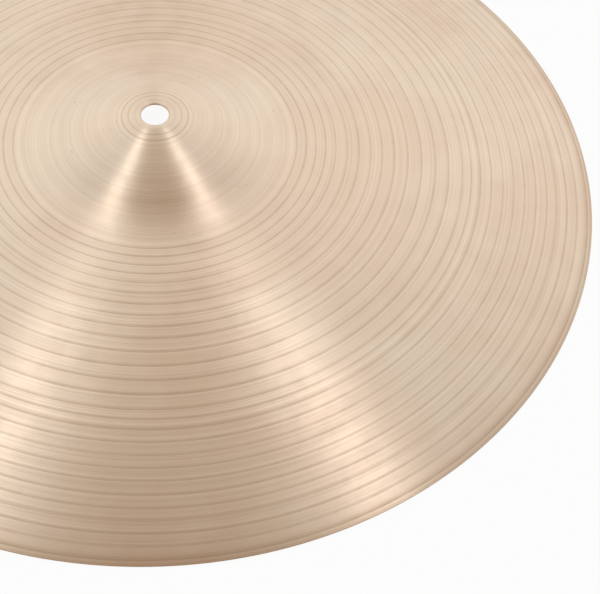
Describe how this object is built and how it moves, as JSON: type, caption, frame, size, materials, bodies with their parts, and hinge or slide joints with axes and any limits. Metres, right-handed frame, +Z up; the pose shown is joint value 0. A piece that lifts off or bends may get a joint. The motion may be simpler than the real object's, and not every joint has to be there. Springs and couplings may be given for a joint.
{
  "type": "suspended cymbal",
  "caption": "Round bronze cymbal, hung or mounted at its centre: a domed bell with a hole, a shallow bow turned with concentric tonal grooves, and a thin tapered edge.",
  "frame": {"origin": "on the cymbal's axis, in the plane that its rim rests on", "axes": "+Z up along the cymbal's axis, out of the top of the bell; +X and +Y lie in the plane of the rim, and the turned shape is the same along both"},
  "size_m": [0.4064, 0.4064, 0.0379],
  "materials": {
    "bronze": "pale cast bronze, lathed in rings, satin and brushed round the axis"
  },
  "bodies": {
    "root": {"cymbal": "bronze"}
  },
  "joints": []
}
